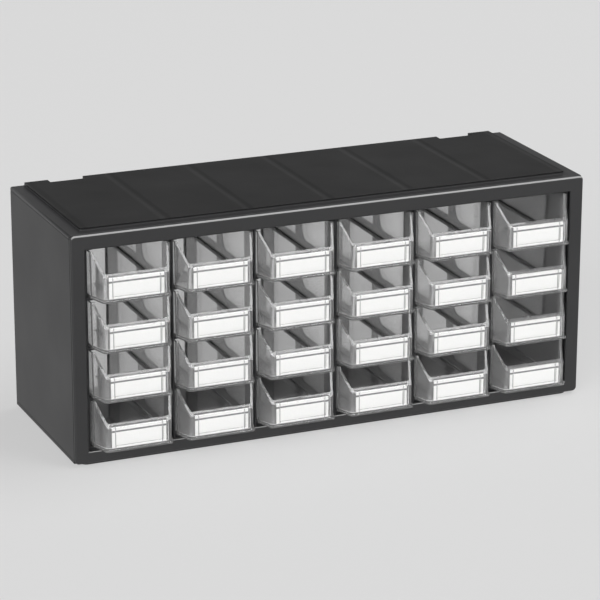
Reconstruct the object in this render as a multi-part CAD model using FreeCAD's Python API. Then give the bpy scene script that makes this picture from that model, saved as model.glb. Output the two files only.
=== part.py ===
import FreeCAD, Part
import os

# Parts bin cabinet with clear drawers, in millimetres, +Z up, drawers facing -Y.
# The origin is the middle of the footprint, drawer fronts included, at the standing plane.

# Case
case_width = 374.0
case_depth = 127.0
case_height = 158.0
shell = 2.5
columns = 6
rows = 4

# Front frame
frame_side = 9.9
frame_top = 10.3
frame_bottom = 8.1
frame_thickness = 3.0
frame_corner = 3.0
frame_edge = 1.4
frame_groove = 0.7

# Raised stacking platform on the top panel, with two notches in its back edge
platform_height = 2.0
platform_inset = 10.0
platform_corner = 1.5
platform_edge = 0.4
notch_width = 25.0
notch_depth = 6.0
notch_from_side = 27.0
top_edge_radius = 1.2

# Plinth ring under the base panel, which nests round the platform of a cabinet below
plinth_height = 2.2
plinth_side_inset = 5.5
plinth_front_inset = 4.0
plinth_width = 3.0
plinth_corner = 5.0

# Inner liner of each side panel and the partitions between the columns
liner_step = 2.0
liner = 2.0
partition = 1.2
front_post = 16.0
middle_post = 10.0
rear_post = 20.0
window_sill = 5.0
window_head = 1.5
window_corner = 1.5
window_sweep = 8.0

# Ledges that carry the drawers, and the flange down the rear edge of each wall that stops them
ledge_width = 3.8
ledge_thickness = 2.2
lowest_ledge_rise = 3.1
highest_ledge_rise = 1.1
flange_width = 2.4
flange_depth = 3.0

# Drawer
side_clearance = 0.75
headroom = 0.4
stop_clearance = 0.4
drawer_wall = 1.2
drawer_floor = 1.2
drawer_draft = 0.5
drawer_fillet = 1.0
nose_reach = 12.7
nose_taper = 4.3
nose_step = 1.2
panel_height = 16.2
nose_corner = 1.5

# Base lip round the nose of a drawer
lip_reach = 1.0
lip_thickness = 1.2
lip_corner = 2.5
lip_gap = 0.3

# Label pocket in the front of a drawer, open at its top, and its card
pocket_cover = 0.8
pocket_gap = 0.5
pocket_floor = 2.1
pocket_margin = 3.1
card_side_clearance = 0.3
card_thickness = 0.35
card_height = 13.8
cover_side = 5.5
cover_bottom = 3.8
cover_top = 2.9

# One overrun for every cut
over = 1.0

# Derived places
total_depth = case_depth + nose_reach + lip_reach
face_y = nose_reach + lip_reach - total_depth / 2
back_y = face_y + case_depth
frame_back_y = face_y + frame_thickness
half_width = case_width / 2
wall_bottom = plinth_height
rim_top = wall_bottom + case_height
opening_low = wall_bottom + frame_bottom
opening_high = rim_top - frame_top
inner_half = half_width - frame_side - liner_step
cell_width = (2 * inner_half - (columns - 1) * partition) / columns
column_pitch = cell_width + partition
lowest_ledge = opening_low + lowest_ledge_rise
row_pitch = (opening_high + highest_ledge_rise - lowest_ledge) / rows
floor_top = wall_bottom + shell
ceiling = rim_top - shell

drawer_half = cell_width / 2 - side_clearance
drawer_height = row_pitch - ledge_thickness - headroom
drawer_length = case_depth - flange_depth - stop_clearance
nose_half = drawer_half - drawer_wall - nose_taper
front_wall = pocket_cover + pocket_gap + drawer_wall
pocket_half = nose_half - pocket_margin
card_half = pocket_half - card_side_clearance


def box(x, y, z):
    """A block between the low and high values of each axis."""
    return Part.makeBox(x[1] - x[0], y[1] - y[0], z[1] - z[0], FreeCAD.Vector(x[0], y[0], z[0]))


def span(start, end):
    return min(start, end), max(start, end)


def edges_along(shape, axis, keep):
    """The straight edges of a shape that run along an axis and whose middle passes a test."""
    found = []
    for edge in shape.Edges:
        run = edge.Vertexes[-1].Point - edge.Vertexes[0].Point
        if run.Length > 0 and abs(run.dot(axis)) > run.Length * 0.999 and keep(edge.BoundBox.Center):
            found.append(edge)
    return found


x_axis = FreeCAD.Vector(1, 0, 0)
y_axis = FreeCAD.Vector(0, 1, 0)
z_axis = FreeCAD.Vector(0, 0, 1)


def everywhere(point):
    return True


def rounded_block(x, y, z, axis, radius, keep=everywhere):
    """A block with its edges along one axis rounded."""
    block = box(x, y, z)
    return block.makeFillet(radius, edges_along(block, axis, keep))


def polygon_face(points):
    wire = Part.makePolygon([FreeCAD.Vector(*p) for p in points + points[:1]])
    return Part.Face(wire)


# Front frame: one ring with rounded corners and a soft front edge
def make_front_frame():
    ring = rounded_block((-half_width, half_width), (face_y, frame_back_y), (wall_bottom, rim_top),
                         y_axis, frame_corner)
    rim = [e for e in ring.Edges
           if e.BoundBox.YLength < frame_edge and abs(e.BoundBox.Center.y - face_y) < frame_edge]
    ring = ring.makeFillet(frame_edge, rim)
    opening = box((frame_side - half_width, half_width - frame_side), (face_y - over, frame_back_y + over),
                  (opening_low, opening_high))
    return ring.cut(opening)


# Top panel: a plate with the raised platform and a groove where it meets the front frame
def make_top_panel():
    plate = box((-half_width, half_width), (frame_back_y, back_y), (ceiling, rim_top))
    plate = plate.makeFillet(top_edge_radius, edges_along(plate, y_axis, lambda p: p.z > rim_top - over))
    plate = plate.makeChamfer(frame_groove, edges_along(
        plate, x_axis, lambda p: p.z > rim_top - over and p.y < frame_back_y + over))
    reach = half_width - platform_inset
    platform_top = rim_top + platform_height
    platform = rounded_block((-reach, reach), (face_y + platform_inset, back_y), (rim_top, platform_top),
                             z_axis, platform_corner, lambda p: p.y < 0)
    upper = [e for e in platform.Edges
             if e.BoundBox.ZMin > platform_top - over and e.BoundBox.Center.y < back_y - over]
    platform = platform.makeFillet(platform_edge, upper)
    for side in (-1, 1):
        outer = side * (half_width - notch_from_side)
        inner = side * (half_width - notch_from_side - notch_width)
        notch = box(span(outer, inner), (back_y - notch_depth, back_y + over), (rim_top, platform_top + over))
        platform = platform.cut(notch)
    return plate.fuse(platform).removeSplitter()


# Base panel: a plate on a plinth ring
def make_base_panel():
    plate = box((-half_width, half_width), (frame_back_y, back_y), (wall_bottom, floor_top))
    reach = half_width - plinth_side_inset
    front, back = face_y + plinth_front_inset, back_y - plinth_front_inset
    ring = rounded_block((-reach, reach), (front, back), (0, wall_bottom), z_axis, plinth_corner)
    hollow = rounded_block((plinth_width - reach, reach - plinth_width),
                           (front + plinth_width, back - plinth_width),
                           (-over, wall_bottom), z_axis, plinth_corner - plinth_width)
    return plate.fuse(ring.cut(hollow)).removeSplitter()


# The ledges and the rear flange on the side of a wall that faces +X or -X
def add_ledges(wall, wall_x, side):
    x = span(wall_x, wall_x + side * flange_width)
    wall = wall.fuse(box(x, (back_y - flange_depth, back_y), (floor_top, ceiling)))
    x = span(wall_x, wall_x + side * ledge_width)
    for step in range(rows + 1):
        level = lowest_ledge + step * row_pitch
        wall = wall.fuse(box(x, (frame_back_y, back_y), (level - ledge_thickness, level)))
    return wall


# Side panel: outer wall, rear web and inner liner in one channel, closed in front by the frame
def make_side_panel(side):
    outer_x = side * half_width
    inner_x = side * inner_half
    channel = box(span(outer_x, inner_x), (frame_back_y, back_y), (floor_top, ceiling))
    hollow = box(span(outer_x - side * shell, inner_x + side * liner),
                 (frame_back_y - over, back_y - shell), (floor_top - over, ceiling + over))
    return add_ledges(channel.cut(hollow), inner_x, -side).removeSplitter()


# Window through a partition, with its own radius at the corner by its rear lower end
def make_window(x, y, z, rear_foot_corner):
    def at_rear_foot(point):
        return point.y > y[1] - over and point.z < z[0] + over

    window = box(x, y, z)
    window = window.makeFillet(window_corner, edges_along(window, x_axis, lambda p: not at_rear_foot(p)))
    return window.makeFillet(rear_foot_corner, edges_along(window, x_axis, at_rear_foot))


# Partition: a skeletal plate with two windows for each row and ledges on both faces.
# The front window ends in a wide sweep, where its edge curves up into the middle post.
def make_partition(index):
    centre_x = (index - columns / 2) * column_pitch
    faces = (centre_x - partition / 2, centre_x + partition / 2)
    plate = box(faces, (frame_back_y, back_y), (floor_top, ceiling))
    front_edge = box(faces, (face_y, frame_back_y), (opening_low, opening_high))
    plate = plate.fuse(front_edge)
    window_length = (case_depth - front_post - middle_post - rear_post) / 2
    front_start = face_y + front_post
    rear_start = front_start + window_length + middle_post
    x = (faces[0] - over, faces[1] + over)
    for row in range(rows):
        level = lowest_ledge + row * row_pitch
        z = (level + window_sill, level + row_pitch - ledge_thickness - window_head)
        plate = plate.cut(make_window(x, (front_start, front_start + window_length), z, window_sweep))
        plate = plate.cut(make_window(x, (rear_start, rear_start + window_length), z, window_corner))
    plate = add_ledges(plate, faces[0], -1)
    plate = add_ledges(plate, faces[1], 1)
    return plate.removeSplitter()


def flat_sided(low, high):
    """A solid between two outlines with as many points each, all its faces flat."""
    faces = [polygon_face(low), polygon_face(high)]
    for start in range(len(low)):
        end = (start + 1) % len(low)
        faces.append(polygon_face([low[start], low[end], high[end], high[start]]))
    return Part.makeSolid(Part.makeShell(faces))


# Outline of a drawer: a long body, stepping in at the frame plane to a tapering nose.
# It lies inward by a wall or zero, and the body is wider at the top than at the floor by the draft.
def drawer_block(inset, front_inset, low, high):
    root = drawer_half - drawer_wall - inset
    front_half = nose_half - inset
    outlines = []
    for z in (low, high):
        lean = drawer_draft * (1 - z / drawer_height)
        half = drawer_half - inset - lean
        rear_y = drawer_length - inset - lean
        front_y = front_inset - nose_reach
        outlines.append([(-half, inset, z), (-half, rear_y, z), (half, rear_y, z), (half, inset, z),
                         (root, inset, z), (front_half, front_y, z), (-front_half, front_y, z),
                         (-root, inset, z)])
    block = flat_sided(*outlines)
    front_corners = edges_along(block, z_axis, lambda p: p.y < front_inset - nose_reach + over)
    return block.makeFillet(nose_corner, front_corners)


# Base lip that runs round the nose
def make_lip():
    root = drawer_half - drawer_wall
    corners = [(-root - lip_reach / 2, -lip_gap, 0), (root + lip_reach / 2, -lip_gap, 0),
               (nose_half + lip_reach, -nose_reach - lip_reach, 0),
               (-nose_half - lip_reach, -nose_reach - lip_reach, 0)]
    lip = polygon_face(corners).extrude(FreeCAD.Vector(0, 0, lip_thickness))
    return lip.makeFillet(lip_corner, edges_along(lip, z_axis, lambda p: p.y < -nose_reach))


def make_drawer():
    outer = drawer_block(0, 0, 0, drawer_height)
    lip = make_lip()
    inner = drawer_block(drawer_wall, front_wall, drawer_floor, drawer_height)
    bottom = [e for e in inner.Edges if e.BoundBox.ZMax < drawer_floor + drawer_fillet]
    inner = inner.makeFillet(drawer_fillet, bottom)
    body = outer.fuse(lip).cut(inner)
    slope = polygon_face([(-drawer_half - over, 0, drawer_height + over),
                          (-drawer_half - over, 0, drawer_height - nose_step),
                          (-drawer_half - over, -nose_reach, panel_height),
                          (-drawer_half - over, -nose_reach - lip_reach - over, panel_height),
                          (-drawer_half - over, -nose_reach - lip_reach - over, drawer_height + over)])
    body = body.cut(slope.extrude(FreeCAD.Vector(2 * (drawer_half + over), 0, 0)))
    pocket_front = pocket_cover - nose_reach
    pocket = box((-pocket_half, pocket_half), (pocket_front, pocket_front + pocket_gap),
                 (pocket_floor, drawer_height + over))
    cover_half = nose_half - cover_side
    view = box((-cover_half, cover_half), (-nose_reach - over, pocket_front),
               (cover_bottom, panel_height - cover_top))
    return body.cut(pocket).cut(view)


def make_card():
    back = pocket_cover + pocket_gap - nose_reach
    card_top = pocket_floor + card_height
    return box((-card_half, card_half), (back - card_thickness, back), (pocket_floor, card_top))


def check(name, shape):
    if not shape.isValid() or len(shape.Solids) != 1:
        raise ValueError(f"{name} has {len(shape.Solids)} solids, valid {shape.isValid()}")
    print(f"{name}: {shape.Volume / 1000:.2f} cm3")
    return shape.Solids[0]


pieces = {
    "front_frame": make_front_frame(),
    "top_panel": make_top_panel(),
    "base_panel": make_base_panel(),
    "left_side_panel": make_side_panel(-1),
    "right_side_panel": make_side_panel(1),
}
for index in range(1, columns):
    pieces[f"partition_{index}"] = make_partition(index)

drawer = make_drawer()
card = make_card()
for row in range(1, rows + 1):
    for column in range(1, columns + 1):
        place = FreeCAD.Vector((column - (columns + 1) / 2) * column_pitch, face_y,
                               lowest_ledge + (rows - row) * row_pitch)
        pieces[f"drawer_r{row}_c{column}"] = drawer.translated(place)
        pieces[f"label_card_r{row}_c{column}"] = card.translated(place)

os.makedirs("parts", exist_ok=True)
for name, shape in pieces.items():
    check(name, shape).exportStep(f"parts/{name}.step")
print(f"{len(pieces)} pieces, case {case_width} x {case_depth} x {rim_top + platform_height} mm")
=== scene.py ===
import math

import bpy
from mathutils import Matrix, Vector

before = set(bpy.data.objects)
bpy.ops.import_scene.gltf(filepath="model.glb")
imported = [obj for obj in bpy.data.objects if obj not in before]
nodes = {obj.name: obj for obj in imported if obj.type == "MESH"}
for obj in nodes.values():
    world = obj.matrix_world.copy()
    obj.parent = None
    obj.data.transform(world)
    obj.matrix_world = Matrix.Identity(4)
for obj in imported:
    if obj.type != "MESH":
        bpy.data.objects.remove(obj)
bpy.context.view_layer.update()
mm = 0.001

caseNodes = [n for n in nodes if not n.startswith(("drawer_", "label_card_"))]
drawerNodes = [n for n in nodes if n.startswith("drawer_")]
cardNodes = [n for n in nodes if n.startswith("label_card_")]


def srgb(code):
    # hex as on a paint chip, to the linear colour that shaders want
    parts = [int(code[i:i + 2], 16) / 255 for i in (1, 3, 5)]
    return [p / 12.92 if p <= 0.04045 else ((p + 0.055) / 1.055) ** 2.4 for p in parts] + [1.0]


def addNode(tree, kind, settings=None, links=None):
    # settings: attributes or input values; links: input -> output socket
    node = tree.nodes.new(kind)
    for key, value in (settings or {}).items():
        if isinstance(key, int) or key in node.inputs:
            node.inputs[key].default_value = value
        else:
            setattr(node, key, value)
    for key, socket in (links or {}).items():
        tree.links.new(socket, node.inputs[key])
    return node


def give(tree, socket, value):
    # a value is another node's socket, a hex colour or a number
    if isinstance(value, bpy.types.NodeSocket):
        tree.links.new(value, socket)
    else:
        socket.default_value = srgb(value) if isinstance(value, str) else value


def calc(tree, operation, *values):
    node = addNode(tree, "ShaderNodeMath", {"operation": operation})
    for socket, value in zip(node.inputs, values):
        give(tree, socket, value)
    return node.outputs[0]


# where a mix node keeps its two colours, and the result of them
mixSockets = {"first": 6, "second": 7, "result": 2}


def mixColours(tree, share, first, second):
    # a share of 0 gives the first colour and 1 gives the second
    node = addNode(tree, "ShaderNodeMix", {"data_type": "RGBA"}, {"Factor": share})
    give(tree, node.inputs[mixSockets["first"]], first)
    give(tree, node.inputs[mixSockets["second"]], second)
    return node.outputs[mixSockets["result"]]


def addNoise(tree, place, size, octaves):
    # soft noise whose largest spots are about so many millimetres across
    node = addNode(tree, "ShaderNodeTexNoise", {"Scale": 1 / (size * mm), "Detail": octaves},
                   {"Vector": place.outputs["Object"]})
    return node.outputs["Fac"]


def addBump(tree, height, strength, depth):
    node = addNode(tree, "ShaderNodeBump", {"Strength": strength, "Distance": depth * mm},
                   {"Height": height})
    return node.outputs["Normal"]


def newMaterial(name):
    material = bpy.data.materials.new(name)
    material.use_nodes = True
    material.node_tree.nodes.clear()
    return material, material.node_tree


def turned(right, up, back):
    # turns an object's own axes to these three directions
    return Matrix((right, up, back)).transposed().to_4x4()


# Camera at the photograph's angle, placed by a fit to the cabinet's corners
camera = {
    "spot": (-751.9, -1758.2, 709.9),  # mm
    "azimuth": -23.10,                 # degrees, like the next two
    "elevation": 18.33,
    "roll": 0.12,
    "lens": 174.24,                    # mm, for the sensor below
    "sensor": 36,
    "sight": 50,                       # m, how far it sees
}


def makeCamera():
    a, e = math.radians(camera["azimuth"]), math.radians(camera["elevation"])
    back = Vector((math.sin(a) * math.cos(e), -math.cos(a) * math.cos(e), math.sin(e)))
    right = Vector((math.cos(a), math.sin(a), 0))
    up = back.cross(right)
    roll = Matrix.Rotation(math.radians(camera["roll"]), 4, "Z")
    data = bpy.data.cameras.new("camera")
    data.lens = camera["lens"]
    data.sensor_width = camera["sensor"]
    data.clip_end = camera["sight"]
    ob = bpy.data.objects.new("camera", data)
    spot = Vector(camera["spot"]) * mm
    ob.matrix_world = Matrix.Translation(spot) @ turned(right, up, back) @ roll
    bpy.context.collection.objects.link(ob)
    bpy.context.scene.camera = ob


makeCamera()
print("camera placed")

# Studio: pale paper on the floor, two wide soft lights, a long strip light overhead that draws
# the bright lines along the edges, and a room that is pale at the horizon and dim overhead
studio = {
    "paper": "#f0f0f0",
    "paperSize": 8.0,     # m, from its middle to each side
    "backdrop": "#dfdfdf",
    "cleanPaper": 0.64,   # how much of the floor shows as plain backdrop, the rest holds the shadow
    "cleanThrough": 0.9,  # the same for what clear plastic and gloss show of it
    "horizon": "#dfdfdf",
    "ceiling": "#5e5e5e",
    "fadeFrom": 0.12,     # sine of the elevation, like the next one
    "fadeTo": 0.36,
    # where it comes from, its width in degrees, and a level at which 1 shows a colour as written
    "suns": {
        "keyLeft": {"from": (-0.66, -0.66, 0.32), "spread": 45, "level": 0.56},
        "fillRight": {"from": (0.45, -0.80, 0.40), "spread": 60, "level": 0.17},
    },
    # places and sizes in metres
    "strip": {"spot": (1.9, -0.6, 4.6), "aim": (0, -0.07, 0.1), "size": (1.2, 5.6), "watts": 110},
}


def makeFloor():
    side = studio["paperSize"]
    mesh = bpy.data.meshes.new("floor")
    corners = [(-side, -side, 0), (side, -side, 0), (side, side, 0), (-side, side, 0)]
    mesh.from_pydata(corners, [], [(0, 1, 2, 3)])
    floor = bpy.data.objects.new("floor", mesh)
    bpy.context.collection.objects.link(floor)
    material, tree = newMaterial("studioPaper")
    paper = addNode(tree, "ShaderNodeBsdfDiffuse", {"Color": srgb(studio["paper"])})
    clean = addNode(tree, "ShaderNodeEmission", {"Color": srgb(studio["backdrop"]), "Strength": 1})
    path = addNode(tree, "ShaderNodeLightPath")
    seen = calc(tree, "MULTIPLY", path.outputs["Is Camera Ray"], studio["cleanPaper"])
    through = calc(tree, "MAXIMUM", path.outputs["Is Glossy Ray"],
                   path.outputs["Is Transmission Ray"])
    share = calc(tree, "MULTIPLY_ADD", through, studio["cleanThrough"], seen)
    mix = addNode(tree, "ShaderNodeMixShader",
                  links={0: share, 1: paper.outputs[0], 2: clean.outputs[0]})
    addNode(tree, "ShaderNodeOutputMaterial", links={"Surface": mix.outputs[0]})
    mesh.materials.append(material)


def makeRoom():
    world = bpy.data.worlds.new("studioRoom")
    bpy.context.scene.world = world
    world.use_nodes = True
    world.node_tree.nodes.clear()
    tree = world.node_tree
    way = addNode(tree, "ShaderNodeTexCoord")
    height = addNode(tree, "ShaderNodeSeparateXYZ", links={"Vector": way.outputs["Generated"]})
    fade = addNode(tree, "ShaderNodeMapRange",
                   {"From Min": studio["fadeFrom"], "From Max": studio["fadeTo"]},
                   {"Value": height.outputs["Z"]})
    tone = mixColours(tree, fade.outputs[0], studio["horizon"], studio["ceiling"])
    room = addNode(tree, "ShaderNodeBackground", {"Strength": 1}, {"Color": tone})
    addNode(tree, "ShaderNodeOutputWorld", links={"Surface": room.outputs[0]})


def addLamp(name, kind, energy):
    data = bpy.data.lights.new(name, kind)
    data.energy = energy
    ob = bpy.data.objects.new(name, data)
    bpy.context.collection.objects.link(ob)
    return ob


def makeLights():
    for name, sun in studio["suns"].items():
        ob = addLamp(name, "SUN", sun["level"] * math.pi)
        ob.data.angle = math.radians(sun["spread"])
        ob.rotation_euler = Vector(sun["from"]).to_track_quat("Z", "Y").to_euler()

    strip = studio["strip"]
    ob = addLamp("stripTop", "AREA", strip["watts"])
    ob.data.shape = "RECTANGLE"
    ob.data.size, ob.data.size_y = strip["size"]
    spot = Vector(strip["spot"])
    back = (spot - Vector(strip["aim"])).normalized()
    right = Vector((0, 1, 0)).cross(back).normalized()
    ob.matrix_world = Matrix.Translation(spot) @ turned(right, back.cross(right), back)


makeFloor()
makeRoom()
makeLights()
bpy.context.scene.view_settings.view_transform = "Standard"
print("studio lit")

# Case: black high-impact polystyrene, injection moulded in a finely spark-eroded mould.
# To the eye a soft even sheen, with no clear reflections.
blackPolystyrene = {
    "colour": "#222223",
    "paleColour": "#2a2a2b",
    "cloud": 45,             # mm, slow change of tone from the melt's flow
    "cloudOctaves": 3,
    "grain": 0.6,            # mm, the real grain is 0.1 mm and would not show
    "grainOctaves": 2,
    "grainHeight": 0.02,     # mm
    "grainStrength": 0.25,
    "roughest": 0.50,
    "smoothest": 0.37,
    "ior": 1.59,
    "gloss": 0.22,           # below the usual 0.5, as the spark-eroded pits hide part of it
}

# Front frame: the same plastic, handled most, which polishes it. Its edges that face up and to
# the front are painted pale as a painted highlight, a light line round the top of the drawers.
frontFrame = {
    "gloss": 0.4,
    # painted highlight: the pale colour, and the facing at which it starts and is full
    "paintedHighlight": "#a8a8a8",
    "highlightFrom": 0.16,   # how much an edge has to face both ways
    "highlightTo": 0.42,
}

# Top: painted shade and sheen, the raised platform painted darker and the margins round it paler,
# so it looks darker than its margins; the partitions under it have drawn it in as faint sink marks
platform = {
    # painted shade and sheen: the tones of the platform and of the margins round it
    "darker": "#0b0b0c",
    "margin": "#3a3a3b",
    "foot": 161.2,      # mm, the platform is all that stands above this
    "pitch": 58.567,    # mm, from partition to partition
    "sinkWidth": 9,     # mm
    "sinkDepth": 0.2,   # mm, deeper than the real ones, which would not show
}


# painted highlight: the pale colour goes on faces that lean both to the front and up
def addPaintedHighlight(tree, place, colour, normal):
    surface = addNode(tree, "ShaderNodeNewGeometry")
    facing = addNode(tree, "ShaderNodeSeparateXYZ", links={"Vector": surface.outputs["Normal"]})
    both = calc(tree, "MULTIPLY", facing.outputs["Y"], facing.outputs["Z"])
    paintedHighlightMask = addNode(tree, "ShaderNodeMapRange",
                     {"From Min": -frontFrame["highlightFrom"], "From Max": -frontFrame["highlightTo"]},
                     {"Value": both})
    return mixColours(tree, paintedHighlightMask.outputs[0], colour, frontFrame["paintedHighlight"]), normal


def addPlatform(tree, place, colour, normal):
    spot = addNode(tree, "ShaderNodeSeparateXYZ", links={"Vector": place.outputs["Object"]})
    raised = calc(tree, "GREATER_THAN", spot.outputs["Z"], platform["foot"] * mm)
    off = calc(tree, "PINGPONG", spot.outputs["X"], platform["pitch"] / 2 * mm)
    sink = addNode(tree, "ShaderNodeMapRange",
                   {"interpolation_type": "SMOOTHSTEP", "From Max": platform["sinkWidth"] / 2 * mm},
                   {"Value": off})
    drawn = addNode(tree, "ShaderNodeBump", {"Distance": platform["sinkDepth"] * mm},
                    {"Height": sink.outputs[0], "Normal": normal})
    # painted shade and sheen: the plastic's own colour is replaced by a dark platform tone and
    # paler margins
    return mixColours(tree, raised, platform["margin"], platform["darker"]), drawn.outputs["Normal"]


def makeBlackPolystyrene(name, gloss, addOwn=None):
    # addOwn adds what only one piece has to the common colour and normal
    s = blackPolystyrene
    material, tree = newMaterial(name)
    place = addNode(tree, "ShaderNodeTexCoord")
    cloud = addNoise(tree, place, s["cloud"], s["cloudOctaves"])
    grain = addNoise(tree, place, s["grain"], s["grainOctaves"])
    colour = mixColours(tree, cloud, s["colour"], s["paleColour"])
    normal = addBump(tree, grain, s["grainStrength"], s["grainHeight"])
    if addOwn:
        colour, normal = addOwn(tree, place, colour, normal)
    rough = addNode(tree, "ShaderNodeMapRange", {"To Min": s["smoothest"], "To Max": s["roughest"]},
                    {"Value": cloud})
    shader = addNode(tree, "ShaderNodeBsdfPrincipled",
                     {"IOR": s["ior"], "Specular IOR Level": gloss},
                     {"Base Color": colour, "Roughness": rough.outputs[0], "Normal": normal})
    addNode(tree, "ShaderNodeOutputMaterial", links={"Surface": shader.outputs[0]})
    return material


# Drawers: clear general-purpose polystyrene from a polished mould.
# To the eye glassy, with bright cut edges and a faint ripple in the large faces.
clearPolystyrene = {
    "colour": "#ffffff",
    "ripple": 14,            # mm
    "rippleOctaves": 1,
    "rippleHeight": 0.02,    # mm
    "rippleStrength": 0.3,
    "roughness": 0.02,
    "ior": 1.59,
    "clear": 0.94,           # the rest is the haze of fine scratches and flow lines
    "lampsPass": "#ededed",  # what each face lets through of the lamps
}


def makeClearPolystyrene():
    s = clearPolystyrene
    material, tree = newMaterial("mouldedClearPolystyrene")
    place = addNode(tree, "ShaderNodeTexCoord")
    ripple = addNoise(tree, place, s["ripple"], s["rippleOctaves"])
    normal = addBump(tree, ripple, s["rippleStrength"], s["rippleHeight"])
    shader = addNode(tree, "ShaderNodeBsdfPrincipled",
                     {"Base Color": srgb(s["colour"]), "Roughness": s["roughness"], "IOR": s["ior"],
                      "Transmission Weight": s["clear"]}, {"Normal": normal})
    passing = addNode(tree, "ShaderNodeBsdfTransparent", {"Color": srgb(s["lampsPass"])})
    path = addNode(tree, "ShaderNodeLightPath")
    shadow = path.outputs["Is Shadow Ray"]
    mix = addNode(tree, "ShaderNodeMixShader",
                  links={0: shadow, 1: shader.outputs[0], 2: passing.outputs[0]})
    addNode(tree, "ShaderNodeOutputMaterial", links={"Surface": mix.outputs[0]})
    return material


# Label cards: plain uncoated white board, cut on a guillotine.
# To the eye flat white with a soft fibre mottle.
whiteCard = {
    "colour": "#f8f8f7",
    "shade": "#efefed",
    "fibre": 1.2,           # mm
    "fibreOctaves": 4,
    "roughness": 0.85,
    "ior": 1.5,
    "size": (38.07, 13.8),  # mm, width and height
    # painted shade: a dark line across the card and paler ones near its ends, for the clear
    # pocket's edges
    "paintedTopShadeLine": {"at": 11.5, "width": 1.3, "colour": "#4c4c4c"},  # mm above the card's foot
    "paintedEndShadeLines": {"at": 2.6, "width": 0.7, "colour": "#9c9c9c"},  # mm in from either end
}


def makeWhiteCard():
    s = whiteCard
    material, tree = newMaterial("uncoatedWhiteCard")
    place = addNode(tree, "ShaderNodeTexCoord")
    fibre = addNoise(tree, place, s["fibre"], s["fibreOctaves"])
    colour = mixColours(tree, fibre, s["shade"], s["colour"])

    # painted shade: dark lines on the card where the edges of the clear pocket show dark, placed by
    # the share of the card's width and height, and by its mirrored halves
    part = addNode(tree, "ShaderNodeSeparateXYZ", links={"Vector": place.outputs["Generated"]})
    fromEnd = calc(tree, "PINGPONG", part.outputs["X"], 0.5)
    width, height = s["size"]
    for shadeLine, along, full in ((s["paintedTopShadeLine"], part.outputs["Z"], height),
                              (s["paintedEndShadeLines"], fromEnd, width)):
        paintedShade = calc(tree, "COMPARE", along, shadeLine["at"] / full, shadeLine["width"] / full / 2)
        colour = mixColours(tree, paintedShade, colour, shadeLine["colour"])
    shader = addNode(tree, "ShaderNodeBsdfPrincipled",
                     {"Roughness": s["roughness"], "IOR": s["ior"]}, {"Base Color": colour})
    addNode(tree, "ShaderNodeOutputMaterial", links={"Surface": shader.outputs[0]})
    return material


# Edges as they leave the mould, rounded by the polish of the steel
edges = {
    "weld": 0.03,          # mm, joins the corners of the faces
    "flat": 0.5,           # degrees, faces of the case this close to flat become one
    "sharp": 35,           # degrees, what counts as an edge
    "segments": 2,
    "frontRadius": 0.9,    # mm, like the next two
    "caseRadius": 0.35,
    "drawerRadius": 0.25,
}


def soften(names, radius, joinFlat):
    for name in names:
        ob = nodes[name]
        weld = ob.modifiers.new("weld", "WELD")
        weld.merge_threshold = edges["weld"] * mm
        if joinFlat:
            flat = ob.modifiers.new("flat", "DECIMATE")
            flat.decimate_type = "DISSOLVE"
            flat.angle_limit = math.radians(edges["flat"])
        bevel = ob.modifiers.new("edges", "BEVEL")
        bevel.width = radius * mm
        bevel.segments = edges["segments"]
        bevel.limit_method = "ANGLE"
        bevel.angle_limit = math.radians(edges["sharp"])
        bevel.harden_normals = True
        bevel.use_clamp_overlap = False


soften(["front_frame"], edges["frontRadius"], joinFlat=True)
soften([n for n in caseNodes if n != "front_frame"], edges["caseRadius"], joinFlat=True)
soften(drawerNodes, edges["drawerRadius"], joinFlat=False)
print("edges rounded")


def dress(names, material):
    for name in names:
        for slot in nodes[name].material_slots:
            slot.material = material


gloss = blackPolystyrene["gloss"]
dress(caseNodes, makeBlackPolystyrene("mouldedBlackPolystyrene", gloss))
dress(["front_frame"], makeBlackPolystyrene("paintedHighlightBlackPolystyrene", frontFrame["gloss"], addPaintedHighlight))
dress(["top_panel"], makeBlackPolystyrene("paintedSheenBlackPolystyrene", gloss, addPlatform))
dress(drawerNodes, makeClearPolystyrene())
dress(cardNodes, makeWhiteCard())
print("materials on")
